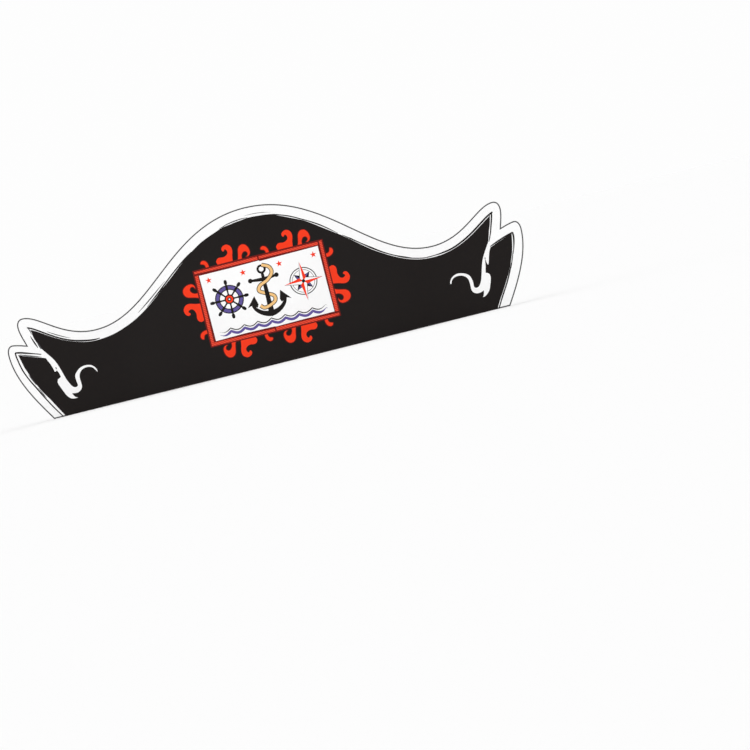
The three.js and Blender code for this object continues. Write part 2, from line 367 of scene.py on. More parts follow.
def drawPlaque(paint):
    for at, turn, stretch in plaque["scrollSets"]:
        for rows in plaque["scrolls"]:
            for ink, run in plaque["scrollInks"]:
                loop = movedLeft(smooth(rows, perSpan=3), run)
                paint(ink, placed(loop, at, math.radians(turn), stretch))
    paint(darkRed, plaque["frame"])
    for bar in plaque["bars"]:
        paint(frameRed, bar)
    paint(white, plaque["plate"])

    for ink, radius in wheel["rims"]:
        paint(ink, disc(wheel["centre"], radius, 40))
    for i in range(wheel["spokes"]):
        turn = 2 * math.pi * i / wheel["spokes"]
        paint(black, placed(brush(wheel["spoke"], 3), wheel["centre"], turn))
    for ink, radius in wheel["hubs"]:
        paint(ink, disc(wheel["centre"], radius))

    for rows in anchor["bars"]:
        paint(black, brush(rows))
    for at, radius, ink in anchor["rings"]:
        paint(ink, disc(at, radius))
    for at in anchor["stockEnds"]:
        paint(black, disc(at, anchor["stockEnd"], 16))
    middle = anchor["rings"][0][0][0]
    for side in (1, -1):
        paint(black, [(middle + side * (u - middle), v) for u, v in anchor["fluke"]])
    paint(black, anchor["crown"])
    for ink, width in anchor["ropeInks"]:
        paint(ink, brush([(u, v, width) for u, v in anchor["rope"]], 8))
    paint(black, brush(anchor["shankOver"]))

    for ink, radius in rose["rings"]:
        paint(ink, disc(rose["centre"], radius, 44))
    for outer, turn, ink in ((rose["short"], 45, indigo), (rose["long"], 0, white)):
        points = star(rose["centre"], outer, rose["waist"], 4, math.radians(turn))
        paint(black, points)
        paint(ink, movedLeft(points, rose["penLine"]))
        for k in range(0, 8, 2):         # one half of each point is solid
            paint(black if turn else red, [rose["centre"], points[k - 1], points[k]])
    paint(black, disc(rose["centre"], rose["hub"], 16))

    along = np.arange(seaAndStars["from"], seaAndStars["to"], 1.0)
    for ink, height, width in seaAndStars["waves"]:
        swell = np.abs(np.sin(math.pi * along / seaAndStars["length"])) * -2 + 1
        up = height + seaAndStars["height"] * swell
        toEnd = np.minimum(along - along[0], along[-1] - along)
        widths = width * np.clip(toEnd / seaAndStars["taper"], seaAndStars["thinnest"], 1)
        paint(ink, brush(np.column_stack([along, up, widths]), 1))
    for at in seaAndStars["stars"]:
        paint(red, star(at, *seaAndStars["star"]))


# The back's print: a skull in a head scarf over two crossed bones, drawn as loops that run clockwise
bones = {
    "arms": [
        [(-57, 90.9), (-55.7, 90.9), (-53.9, 89.9), (-52, 88.1), (-50, 86.2), (-47.9, 84.4),
         (-45.3, 83.1), (-39.8, 80.9), (-31.1, 77.1), (-26.8, 75.1), (-24.5, 74.1), (-26.1, 73.4),
         (-28, 72), (-29.4, 70.2), (-30.1, 69.1), (-34.6, 70.8), (-41.5, 73.5), (-45.4, 74.9),
         (-49.3, 75.8), (-52.7, 76), (-55.3, 75.5), (-57.4, 74.6), (-57.8, 76.5), (-58.2, 79.5),
         (-58.1, 82.1), (-56.7, 84.3), (-56.1, 86.9), (-56.4, 89.2)],
        [(13.8, 68.3), (20.4, 71.3), (27.2, 74.4), (35.4, 78), (43.6, 81.1), (46.2, 82.7), (48.4, 85),
         (50, 87.3), (50.8, 88.3), (51.5, 87.5), (53.1, 85.7), (55.3, 84.7), (57.4, 84.3), (56.9, 82.5),
         (57, 80.5), (57.7, 78.7), (58.9, 77.4), (59, 76.3), (57, 76), (53.6, 75.8), (50.1, 75.3),
         (46.7, 74.5), (38, 71.7), (29.4, 68.1), (20.7, 63.4), (13.8, 60.5)],
        [(-63.7, 41), (-63.1, 41.7), (-61.4, 42.1), (-57.9, 42.3), (-54, 42.8), (-50.1, 43.5),
         (-45.8, 44.5), (-37.2, 47.4), (-28.5, 51.9), (-20.7, 55.3), (-17.3, 50.1), (-30.2, 43.7),
         (-34.6, 41.7), (-43.2, 36.6), (-46.7, 34.7), (-49.3, 32.7), (-51.2, 30.6), (-52.3, 28.5),
         (-53.2, 26.4), (-53.9, 24.2), (-54.9, 22.9), (-56.3, 22.4), (-57.9, 23.1), (-59.3, 24.1),
         (-60.7, 25.5), (-61.8, 24.5), (-63.1, 24.3), (-64, 25.4), (-64.6, 27.7), (-65.3, 30.2),
         (-66, 32.8), (-67, 34.6), (-66.6, 35.6), (-65.6, 36.9), (-64.8, 38.4), (-63.9, 39.5)],
        [(12.1, 55.7), (15.9, 54), (24.2, 50.5), (32.8, 46.4), (41.5, 42.2), (44.9, 40.8), (48.4, 40.1),
         (51.9, 40), (54.6, 40.7), (57, 41.7), (59.1, 42.1), (60.7, 41.2), (61.4, 39.8), (61.3, 38.2),
         (60.6, 37), (61, 35.4), (60.9, 33.4), (60.1, 31.5), (58.8, 29.6), (57.2, 28.1), (56.1, 26.6),
         (55.5, 25), (54.4, 23.9), (53.1, 24.4), (51, 24.1), (49.3, 24.1), (48.2, 24.7), (45.5, 27.7),
         (41.7, 32.4), (39.8, 34.6), (37.6, 36.6), (34.6, 38.8), (27.7, 42.6), (19.9, 46.3),
         (12.1, 48.9)],
    ],
    "knobs": [
        [(-61.4, 87.5), (-61, 89), (-59.8, 90.1), (-58.2, 90.3), (-57, 89.2), (-56.3, 87.1),
         (-56.7, 85), (-57.7, 83.5), (-59, 83.1), (-60.4, 84.6), (-61.3, 86.1)],
        [(-66.5, 81.2), (-66.2, 84), (-65.2, 85.9), (-63.8, 86.4), (-62.2, 85.4), (-60.7, 83.5),
         (-59.3, 81.5), (-58.4, 79.1), (-57.9, 76.6), (-57.9, 74.8), (-59.3, 74.2), (-61.2, 74.4),
         (-63.3, 75.4), (-65.2, 77.3), (-66.2, 79.2)],
        [(52, 88.9), (52.4, 90.7), (53.8, 92.3), (56, 93.2), (58.3, 93.2), (60.5, 92.3), (62, 90.6),
         (62.6, 88.5), (61.9, 86.7), (60.3, 85.5), (58.3, 85), (56.2, 85.2), (54.1, 86.2),
         (52.7, 87.4)],
        [(57.4, 83.4), (58.6, 84.4), (60.2, 84.8), (61.8, 85.1), (62.5, 83.5), (62.4, 81.4),
         (61.4, 79.3), (60, 78), (58.4, 78.7), (57.4, 80.3), (57, 81.9)],
    ],
    "lines": [
        [(-56.2, 81.6, 0.5), (-52.7, 80.5, 0.9), (-45.8, 78.5, 0.9), (-42.8, 77.6, 0.4)],
        [(41.9, 78.3, 0.5), (44.9, 79.4, 0.9), (48, 80.7, 1.1), (50.6, 82.5, 1.1), (53.1, 84, 1.1),
         (55.7, 84.9, 0.6)],
        [(-64.1, 40, 0.7), (-62.2, 39.4, 1.1), (-60.8, 38.8, 1.4), (-57.9, 38.8, 1.4),
         (-54.4, 39.1, 1.4), (-51, 39.8, 1.3), (-47.5, 41, 1.2), (-44.5, 42.4, 1.1),
         (-42.2, 43.9, 0.6)],
        [(-61.4, 38.5, 1.2), (-61.1, 36.7, 1.2), (-60.4, 35.3, 1.1), (-59.3, 33.9, 1.3),
         (-58.4, 33.4, 1.4), (-56.6, 34.2, 1.2), (-54, 35.1, 1.2), (-51.9, 36.3, 1.2),
         (-49.4, 37.7, 0.6)],
        [(-58.9, 33.7, 1.3), (-59.4, 31.8, 1.2), (-58.9, 29.8, 1.2), (-58.1, 28, 1.3),
         (-57.2, 27.6, 1.4), (-55.8, 28.3, 1.3), (-55, 30.2, 1.3), (-54.4, 32.7, 1.2),
         (-53.9, 34.9, 1.2)],
        [(-57.5, 27.5, 1.3), (-59.2, 26.5, 1.3), (-60.8, 25.7, 1.8)],
        [(50, 35.8, 1.6), (51.4, 37.2, 1.5), (53.6, 37.9, 1.4), (55.5, 37.3, 1.4), (56.8, 35.8, 1.4),
         (57.2, 33.7, 1.4), (56.5, 31.9, 1.4), (54.9, 31, 1.4), (53, 31.4, 1.4), (51.2, 32.7, 1.4),
         (50.1, 34.4, 1.5), (49.5, 35.9, 1.5)],
        [(41.3, 40.2, 0.6), (43.6, 39.3, 1.3), (46.2, 38.1, 1.4), (48.4, 36.8, 1.6), (50, 36, 1.6)],
        [(55.3, 39.2, 0.6), (56.6, 39.1, 1.4), (57.6, 39.8, 0.5)],
        [(58.2, 37.9, 0.6), (58.9, 38.9, 1.5), (59.3, 40.3, 0.7)],
        [(50.5, 29.9, 0.6), (51.9, 28.7, 1.3), (53.1, 27, 1.2), (53.8, 24.2, 1.2)],
        [(53.7, 29.5, 0.6), (54.9, 29.1, 1.4), (56.1, 28.8, 0.6)],
    ],
}
skull = {
    "halo": 0.65,                        # black line round each white shape
    "head": [(18.7, 89.2), (19.4, 87.3), (19.9, 83), (20.4, 77.8), (20.5, 73.5), (19.8, 70.9),
             (19.4, 69.3), (20, 67.6), (20, 65.2), (19.4, 63.3), (18.1, 61.7), (16.9, 60.5),
             (17.7, 59.6), (17.5, 57.9), (16.3, 56.1), (15.6, 54.4), (15.5, 51.4), (15.2, 48.4),
             (13.9, 46.1), (12.8, 43.6), (11.8, 40.6), (10.4, 37.7), (8.6, 34.7), (6.6, 32.3),
             (4.3, 30.7), (1.7, 30.2), (-0.7, 30.6), (-2.6, 30.2), (-5, 30.1), (-6.9, 30.9),
             (-8.6, 32.7), (-10.4, 35.2), (-12.2, 37.5), (-13.6, 39.2), (-14.8, 42.3), (-16.1, 45.8),
             (-17.3, 49.8), (-18, 53.6), (-18.5, 56.7), (-19.4, 58.2), (-20, 59.8), (-21.3, 62),
             (-22.3, 64.8), (-22.1, 67.4), (-21.2, 70), (-19.9, 71.8), (-19, 73.1), (-19.4, 76),
             (-19.9, 83), (-15.6, 91.6), (-6.9, 95.9), (3.5, 95.1), (10.4, 91.6), (15.6, 90.2)],
    "ear": [(-28.2, 70.2), (-27.1, 71.6), (-25.4, 72.4), (-23.7, 71.7), (-22.6, 70), (-22.9, 68.4),
            (-23.9, 67.9), (-24.4, 66.7), (-24.5, 64.8), (-25.5, 64.2), (-25.8, 63), (-26.8, 62),
            (-27.8, 62.7), (-28.7, 65), (-29.4, 67.4), (-29.3, 69), (-28.7, 69.6)],
    "hoop": [(-24.5, 62.4), (-25, 61), (-24.7, 59.5), (-23.6, 58.2), (-22.1, 57.8), (-21, 58.1),
             (-20, 57.6), (-20, 56.3), (-21, 55.4), (-22.7, 54.9), (-24.5, 55.3), (-25.8, 56.7),
             (-26.4, 58.8), (-26, 60.8), (-25.2, 62.5)],
    "socket": [(2.2, 74.3), (3.6, 75), (6.5, 76.3), (9.5, 76.4), (12.6, 75.7), (14.7, 74.1),
               (15.5, 71.3), (15.3, 68.3), (14.4, 65.9), (12.5, 64.7), (9.5, 64.4), (6.7, 64.8),
               (4.8, 66.3), (3.8, 68.7), (2.9, 71.7)],
    "patch": [(-19.2, 74.1), (-15.6, 74.6), (-11.2, 76.1), (-7.8, 77.7), (-5.5, 79.5), (-4.8, 76.9),
              (-4.1, 74.3), (-3.8, 72.2), (-4.3, 69.1), (-5.8, 66.8), (-7.8, 65), (-10.4, 63.9),
              (-13, 63.5), (-15.2, 63.9), (-16.4, 65.7), (-17.9, 68.1), (-18.8, 70.9)],
    "nose": [(-1.3, 68.8), (0, 68.5), (0.9, 66.1), (2.2, 63.1), (3.1, 60.5), (3.2, 58.3), (2.2, 57),
             (0.9, 56.9), (0, 57.9), (-0.6, 59.4), (-1.3, 59.6), (-1.7, 58.3), (-2.6, 57), (-4, 56.8),
             (-5.4, 57.7), (-5.8, 59.6), (-5.4, 62.2), (-4.1, 65.2), (-2.8, 67.7)],
    "mouth": [(-10.5, 49.5), (-8.2, 49.3), (-6, 48.9), (-3.5, 48.6), (-0.9, 48.4), (1.7, 48.5),
              (4.3, 48.8), (6.6, 49.4), (8.5, 50.5), (9.9, 51.9), (9, 49.3), (7.4, 47.2), (6.7, 45.1),
              (5, 43.2), (2.2, 42.2), (-1.3, 41.9), (-4.5, 42.2), (-6.7, 43.4), (-7.7, 45.5),
              (-8.6, 47.4)],
    "lines": [
        [(-18, 59.2, 0.4), (-16.2, 58.3, 1), (-14.3, 57.2, 1.9), (-13.1, 55, 2), (-12.3, 52.4, 1.6),
         (-11.2, 50.3, 1.3), (-9.9, 49.2, 1.2)],
        [(15, 58.9, 0.5), (13.1, 57.9, 1), (11.8, 56.5, 2), (10.7, 54.3, 2.1), (10.2, 51.9, 1.7),
         (9, 50.3, 1.2), (7.8, 49.4, 0.8)],
        [(14, 64.6, 0.7), (14.4, 62.7, 1.5), (15.2, 61.4, 1.3), (16.2, 60.3, 1.2), (15.3, 59.4, 0.7)],
        [(-1.5, 74.8, 0.5), (-0.5, 74.4, 1.7), (0.8, 74.1, 0.9)],
        [(-29.3, 69.7, 0.6), (-27.8, 69.1, 1.1), (-26.6, 68.5, 2.2), (-25.8, 68.3, 1.2)],
        [(-6.6, 78.3, 0.8), (-5.5, 79.7, 1.9), (-4.7, 81.1, 1.6), (-3.3, 82.9, 1.3), (-1.6, 85.2, 1.3),
         (-0.5, 86.4, 1.3)],
    ],
    "greyLines": [
        [(-15.4, 63.6, 0.7), (-16.3, 62.4, 1.2), (-17.1, 61, 1.2), (-17.8, 59.5, 0.6)],
        [(-4.1, 74.1, 0.6), (-2.9, 73.6, 1.5), (-2.2, 73.8, 0.5)],
        [(-5.9, 41.4, 0.6), (-4.3, 40.4, 1.3), (-1.7, 39.9, 1.1), (0.9, 39.9, 1.1), (3.1, 40.5, 1.3),
         (4.7, 41.7, 0.5)],
        [(-9.4, 47.4, 0.6), (-8.8, 45.5, 1.6), (-7.4, 43.6, 1.6), (-6.6, 42.3, 0.6)],
        [(5.9, 46.3, 0.5), (6.4, 44.6, 1.2), (5.2, 42.9, 0.6)],
    ],
    "hoopDot": ((-23.2, 60.6), 0.75),
    "gums": [(-10.2, 52), (-7.4, 51.6), (-5, 51.2), (-1.8, 51), (0.6, 51.2), (3.2, 51), (5.4, 51.1),
             (7.6, 51.5)],
    "gum": (1.5, 0.1, 0.75),             # length, drop and width of a stroke
    "toothGap": (0.8, 0.4),              # width of the line between two teeth, below and above
    "teeth": [(-7.4, 48.6, 1.3), (-4.9, 48.2, 1.2), (-2.3, 48, 1.3), (0.3, 48, 1.2), (2.9, 48.2, 1.3),
              (5.4, 48.8, 1.2), (-4.6, 41.2, 1), (-2.2, 40.9, 1.1), (0.4, 40.9, 1), (2.8, 41.2, 1)],
}
scarf = {
    "penLine": 0.95,
    "folds": [
        [(2.1, 87.8), (4, 90), (6.9, 92.5), (10.4, 94.3), (13.8, 95.1), (16.3, 93.9), (18.4, 91.8),
         (19.8, 89.9), (19.8, 88.9), (16.4, 89.5), (12.1, 89.2), (7.8, 88.6), (4.3, 87.9)],
        [(-23, 74.2), (-23.9, 76.9), (-23.5, 81.2), (-22.4, 85.4), (-20.2, 89.2), (-17.1, 93.1),
         (-13.5, 96.3), (-9.1, 98.9), (-4.3, 100.3), (0.4, 100.8), (4.8, 100.3), (8.2, 99.6),
         (10.1, 99), (9.9, 97.7), (7.8, 95.8), (4.8, 93.3), (2.2, 90.7), (0.2, 88.1), (-1.4, 86.2),
         (-2.8, 85.1), (-5.6, 84.3), (-9.9, 82.3), (-14.1, 79.6), (-17.3, 76.9), (-19.2, 74.8),
         (-20.7, 74)],
    ],
    "tails": [
        [(-26.3, 54.8), (-24.2, 54.6), (-22.1, 54.8), (-22.4, 51.9), (-23, 48.4), (-24.2, 43.2),
         (-25.1, 39.3), (-24.7, 35.4), (-24.2, 31.5), (-23.5, 27.7), (-23.9, 25.5), (-24.5, 23.3),
         (-25.4, 23.3), (-26.2, 25.5), (-27.1, 28.5), (-28.3, 32.8), (-29.3, 37.2), (-29.6, 41.5),
         (-29, 45.8), (-28.2, 49.7), (-27.1, 52.7)],
        [(-21.3, 55), (-19.7, 55.8), (-18.7, 54.4), (-18, 51), (-17, 47.5), (-15.9, 44.1), (-14.9, 41),
         (-13.7, 38.2), (-13.2, 35.8), (-13.8, 33.2), (-14.7, 30.6), (-15.5, 27.7), (-15.2, 24.6),
         (-15.4, 22.5), (-16.2, 20), (-17.3, 17.6), (-18.1, 14.7), (-18.7, 11.8), (-19.2, 12.1),
         (-19.6, 15.1), (-20, 18.6), (-20.9, 22), (-22.1, 25.5), (-23, 28.5), (-23.5, 32.8),
         (-23.9, 36.3), (-24.1, 39.8), (-23.2, 43.6), (-22, 48.4), (-21.5, 51.9)],
    ],
    "creases": [
        [(-25.4, 50, 1), (-26.4, 47.5, 2.2), (-27.1, 44.9, 2.4), (-27.7, 41.3, 1.2)],
        [(-20.6, 55.8, 1.7), (-21.1, 52.7, 2.2), (-21.8, 49.7, 2.1), (-23, 45.4, 2.1),
         (-24.2, 41.5, 1.6)],
    ],
    "slit": [(-20, 47), (-18.9, 46), (-18.7, 41.8), (-18.4, 39.4), (-18.1, 38.5), (-17.5, 39.1),
             (-16.8, 41.1), (-16.1, 38), (-16.5, 35.4), (-17.5, 31.9), (-18.8, 28.3), (-19.9, 31.3),
             (-20.8, 35.4), (-21.2, 38.9), (-20.9, 42.8)],
    "slitDepth": [(-20.1, 42.6, 0.4), (-19.8, 38.6, 1.3), (-19.1, 35, 2.2), (-18.7, 31.6, 1.2),
                  (-18.7, 29.6, 0.3)],
    "betweenFolds": [(10.4, 97.3, 1), (7.4, 94.9, 2), (4.3, 92.1, 2.2), (1.6, 89, 2.2),
                     (-0.5, 86.6, 1.4)],
}


def drawSkull(paint):
    def shape(points, run, *colours):
        loop = smooth(points, True, 4)
        paint(colours[0], movedLeft(loop, run))
        paint(colours[1], loop)

    for points in bones["arms"] + bones["knobs"]:
        shape(points, skull["halo"], black, white)
    for rows in bones["lines"]:
        paint(black, brush(rows, 3))
    for points in scarf["tails"]:
        shape(points, scarf["penLine"], darkRed, red)
    for rows in scarf["creases"]:
        paint(darkRed, brush(rows, 4))
    paint(darkRed, smooth(scarf["slit"], True, 4))
    paint(black, brush(scarf["slitDepth"], 4))

    for name in ("head", "ear", "hoop"):
        shape(skull[name], skull["halo"], black, white)
    paint(white, disc(*skull["hoopDot"], 12))
    for name in ("socket", "patch", "nose", "mouth"):
        paint(black, smooth(skull[name], True, 4))
    for ink, lines in ((grey, skull["greyLines"]), (black, skull["lines"])):
        for rows in lines:
            paint(ink, brush(rows, 4))
    long, drop, width = skull["gum"]
    for u, v in skull["gums"]:
        paint(grey, brush([(u, v, width), (u + long, v - drop, width)], 1))
    wide, narrow = skull["toothGap"]
    for u, v, tall in skull["teeth"]:
        paint(black, brush([(u, v, wide), (u, v + tall, narrow)], 1))
    paint(darkRed, brush(scarf["betweenFolds"], 4))
    for points in scarf["folds"]:
        shape(points, scarf["penLine"], darkRed, red)


frontLayers, backLayers = [], []
for layers, drawMotif in ((frontLayers, drawPlaque), (backLayers, drawSkull)):
    for draw in (drawBorder, drawMotif):
        draw(lambda ink, loop: layers.append((ink, np.array(loop, float))))
    print("print drawn:", len(layers), "shapes")


# Materials. Colours are sRGB hex values.
def linear(hexColour):
    parts = [int(hexColour[i:i + 2], 16) / 255 for i in (1, 3, 5)]
    return [c / 12.92 if c <= 0.04045 else ((c + 0.055) / 1.055) ** 2.4 for c in parts] + [1.0]


# a node's inputs, given as values or as sockets to link
def feed(tree, node, inputs):
    for name, value in inputs.items():
        if isinstance(value, bpy.types.NodeSocket):
            tree.links.new(value, node.inputs[name])
        else:
            node.inputs[name].default_value = value


def addNode(tree, kind, settings=None, inputs=None):
    node = tree.nodes.new(kind)
    for name, value in (settings or {}).items():
        setattr(node, name, value)
    feed(tree, node, inputs or {})
    return node


def mathNode(tree, operation, *values):
    return addNode(tree, "ShaderNodeMath", {"operation": operation}, dict(enumerate(values))).outputs[0]


# the x, y and z of a vector
def split(tree, vector):
    return addNode(tree, "ShaderNodeSeparateXYZ", inputs={0: vector}).outputs


# noise with spots so many mm across
def noise(tree, place, across, **more):
    return addNode(tree, "ShaderNodeTexNoise", inputs={
        "Vector": place, "Scale": 1 / (across * mm), **more}).outputs["Fac"]


# from one colour to another by a share; each is a hex value or a socket
def blend(tree, share, *colours):
    first, second = [linear(c) if isinstance(c, str) else c for c in colours]
    return addNode(tree, "ShaderNodeMix", {"data_type": "RGBA"}, {
        0: share, 6: first, 7: second}).outputs[2]


def ranged(tree, value, low, high, newLow=0.0, newHigh=1.0):
    return addNode(tree, "ShaderNodeMapRange", inputs={
        "Value": value, "From Min": low, "From Max": high, "To Min": newLow, "To Max": newHigh,
    }).outputs["Result"]


def relief(tree, height, depth, strength=0.6):
    return addNode(tree, "ShaderNodeBump", inputs={
        "Height": height, "Distance": depth * mm, "Strength": strength}).outputs["Normal"]


def newMaterial(name):
    made = bpy.data.materials.new(name)
    made.use_nodes = True
    tree = made.node_tree
    return made, tree, tree.nodes["Principled BSDF"]


# Offset ink on clay-coated white board, under a thin water-based varnish. The coating is smooth, so
# the colours are clean and the sheen is soft. Ink lies unevenly in spots of a few millimetres, and
# the board's fibres just show as a fine tooth. Rows: darker and lighter hex, specular, roughness.
board = {
    "inks": {
        white: ("#F5F5F5", "#F8F8F8", 0.3, 0.42),
        black: ("#141010", "#1A1513", 0.11, 0.4),
        red: ("#EE3410", "#F63A15", 0.14, 0.42),
        darkRed: ("#640B06", "#701009", 0.14, 0.42),
        frameRed: ("#C0301C", "#EC4C34", 0.14, 0.42),
        # grey: ink of the pen strokes, also the painted shade round the cut edge
        grey: ("#464648", "#4E4E50", 0.2, 0.42),
        indigo: ("#5A4E90", "#62559A", 0.16, 0.42),
        tan: ("#EBBC7A", "#F2C585", 0.2, 0.42),
    },
    "mottle": 3.0,                       # mm across a spot of heavier ink
    "roughnessRange": (-0.05, 0.06),     # how far the roughness goes either way with the mottle
    "tooth": 0.45,                       # mm between fibres, coarse enough to show
    "toothDepth": 0.006,                 # mm
    "penPitch": 1.7,                     # mm between the pen strokes that shade the frame
    "penLean": math.radians(52),
    "penWobble": 1.4,
    "waveBand": 0.314,                   # width of a wave texture's band at scale 1
}


def printedBoard(name):
    dark, light, specular, roughness = board["inks"][name]
    made, tree, shader = newMaterial(name)
    place = addNode(tree, "ShaderNodeTexCoord").outputs["Object"]
    mottle = noise(tree, place, board["mottle"], Detail=4.0, Roughness=0.6)
    share = mottle
    if name == frameRed:                 # slanting pen strokes, a little uneven
        lean = addNode(tree, "ShaderNodeMapping", inputs={
            "Vector": place, "Rotation": (0, board["penLean"], 0)}).outputs["Vector"]
        share = addNode(tree, "ShaderNodeTexWave", {"bands_direction": "X"}, {
            "Vector": lean, "Scale": board["waveBand"] / (board["penPitch"] * mm),
            "Distortion": board["penWobble"], "Detail": 2.0, "Detail Scale": 1.0}).outputs["Fac"]
    fibres = noise(tree, place, board["tooth"], Detail=3.0)
    smoothest, roughest = [roughness + more for more in board["roughnessRange"]]
    feed(tree, shader, {
        "Base Color": blend(tree, share, dark, light), "Specular IOR Level": specular,
        "Roughness": ranged(tree, mottle, 0, 1, smoothest, roughest),
        "Normal": relief(tree, fibres, board["toothDepth"])})
    return made


# The unprinted side of solid bleached board: matt, a little warmer than the coated side, with long
# fibres that all lean along the sheet and a few darker specks of pulp.
pulp = {"dark": "#E4E0D7", "light": "#F1EEE8", "fibre": 0.9, "fibreLong": 7.0, "fibreDepth": 0.02,
        "speck": "#B9AF9F", "speckSize": 1.3, "speckRange": (0.70, 0.76), "roughness": 0.85,
        "specular": 0.25}


def uncoatedBoard():
    made, tree, shader = newMaterial("uncoatedBack")
    place = addNode(tree, "ShaderNodeTexCoord").outputs["Object"]
    along = addNode(tree, "ShaderNodeMapping", inputs={
        "Vector": place, "Scale": (1 / pulp["fibreLong"], 1, 1)}).outputs["Vector"]
    fibres = noise(tree, along, pulp["fibre"], Detail=5.0, Distortion=0.8)
    ground = blend(tree, fibres, pulp["dark"], pulp["light"])
    spots = noise(tree, place, pulp["speckSize"], Detail=1.0)
    few = ranged(tree, spots, *pulp["speckRange"])
    feed(tree, shader, {
        "Base Color": blend(tree, few, ground, pulp["speck"]),
        "Normal": relief(tree, fibres, pulp["fibreDepth"], 0.7),
        "Roughness": pulp["roughness"], "Specular IOR Level": pulp["specular"]})
    return made


# The board's core where the die cut it: soft grey-white pulp in plies, with a thin bright skin of
# coating on the printed side, which ends between two shares of the thickness
core = {"ply": "#DEDAD2", "between": "#C4BEB4", "plies": 5, "plyFrom": 0.4, "fray": 0.7,
        "frayDepth": 0.05, "coating": "#F6F5F2", "skinEnd": (0.10, 0.14), "roughness": 0.9,
        "specular": 0.2}


def cutBoard():
    made, tree, shader = newMaterial("boardCore")
    place = addNode(tree, "ShaderNodeTexCoord").outputs["Object"]
    depth = addNode(tree, "ShaderNodeAttribute", {"attribute_name": "depth"}).outputs["Fac"]
    fray = noise(tree, place, core["fray"], Detail=3.0)
    turns = mathNode(tree, "MULTIPLY_ADD", depth, 2 * math.pi * core["plies"], fray)
    share = ranged(tree, mathNode(tree, "SINE", turns), core["plyFrom"], 1)
    plies = blend(tree, share, core["ply"], core["between"])
    skin = ranged(tree, depth, *core["skinEnd"])
    feed(tree, shader, {
        "Base Color": blend(tree, skin, core["coating"], plies),
        "Normal": relief(tree, fray, core["frayDepth"]),
        "Roughness": core["roughness"], "Specular IOR Level": core["specular"]})
    return made


inks = list(board["inks"])
lining = len(inks)                       # the plain side's place among the card's materials
materials = [printedBoard(name) for name in inks] + [uncoatedBoard()]
coreMaterial = cutBoard()
print("materials:", len(materials) + 1)


# which points lie inside a loop, also where a pen stroke crosses itself
def inside(points, loop):
    hit = ((points > loop.min(0)) & (points < loop.max(0))).all(1)
    p = points[hit][:, None]
    a, b = loop, np.roll(loop, -1, 0)
    side = (b[:, 0] - a[:, 0]) * (p[..., 1] - a[:, 1]) - (p[..., 0] - a[:, 0]) * (b[:, 1] - a[:, 1])
    up = (a[:, 1] <= p[..., 1]) & (b[:, 1] > p[..., 1]) & (side > 0)
    down = (a[:, 1] > p[..., 1]) & (b[:, 1] <= p[..., 1]) & (side < 0)
    hit[hit] = up.sum(1) != down.sum(1)
    return hit


# The bow turns the card away from the front view, so what the view shows lies further along the
# flat card than it seems
def unrolled(points):
    along = np.linspace(0, card["seamAt"], card["unrollSteps"] + 1)
    turn = card["steepestTurn"] * np.sin(math.pi * along / card["seamAt"])
    seen = np.concatenate([[0], np.cumsum(np.cos((turn[1:] + turn[:-1]) / 2)) * along[1]])
    x = np.abs(points[:, 0])
    flat = np.where(x < seen[-1], np.interp(x, seen, along), x + along[-1] - seen[-1])
    return np.column_stack([np.sign(points[:, 0]) * flat, points[:, 1]])


# One face of the flat card, cut into triangles along the print and along the bow's facets
def cutFace(edge, drawing):
    facets = 2 * round(card["seamAt"] / card["facet"])
    stations = np.linspace(-card["seamAt"], card["seamAt"], facets + 1)
    lines = [[(u, v) for v in card["facetLine"]] for u in stations]
    points, pairs = [], []
    for loop in [edge] + [loop for ink, loop in drawing] + lines:
        first, count = len(points), len(loop)
        points += [Vector(p) for p in loop]
        sides = count if count > 2 else 1    # only the lines between facets are open
        pairs += [(first + i, first + (i + 1) % count) for i in range(sides)]
    # points that lie within 1e-5 mm become one
    flat, _, faces, came, _, _ = delaunay_2d_cdt(points, pairs, [], 0, 1e-5, True)
    flat = np.array([tuple(p) for p in flat])
    faces = np.array(faces)
    faces = faces[inside(flat[faces].mean(1), edge)]
    used, again = np.unique(faces, return_inverse=True)
    flat, faces, came = flat[used], again.reshape(-1, 3), [came[i] for i in used]
    middles = flat[faces].mean(1)
    ink = np.zeros(len(faces), int)
    for name, loop in drawing:
        ink[inside(middles, loop)] = inks.index(name)
    return flat, faces, ink, came


# the vertices round the outside of a set of triangles, in order
def rimOf(faces):
    edges = {(int(f[i]), int(f[(i + 1) % 3])) for f in faces for i in range(3)}
    following = dict((a, b) for a, b in edges if (b, a) not in edges)
    rim = [next(iter(sorted(following)))]
    while following[rim[-1]] != rim[0]:
        rim.append(following[rim[-1]])
    return rim


# The bake map: printed side above, plain side below, the cut edge in a band between them
bakeMap = {"size": (0.98, 0.46), "printedCorner": (0.01, 0.53), "plainCorner": (0.01, 0.01),
           "bandAlong": (0.01, 0.99), "bandUp": (0.48, 0.52)}


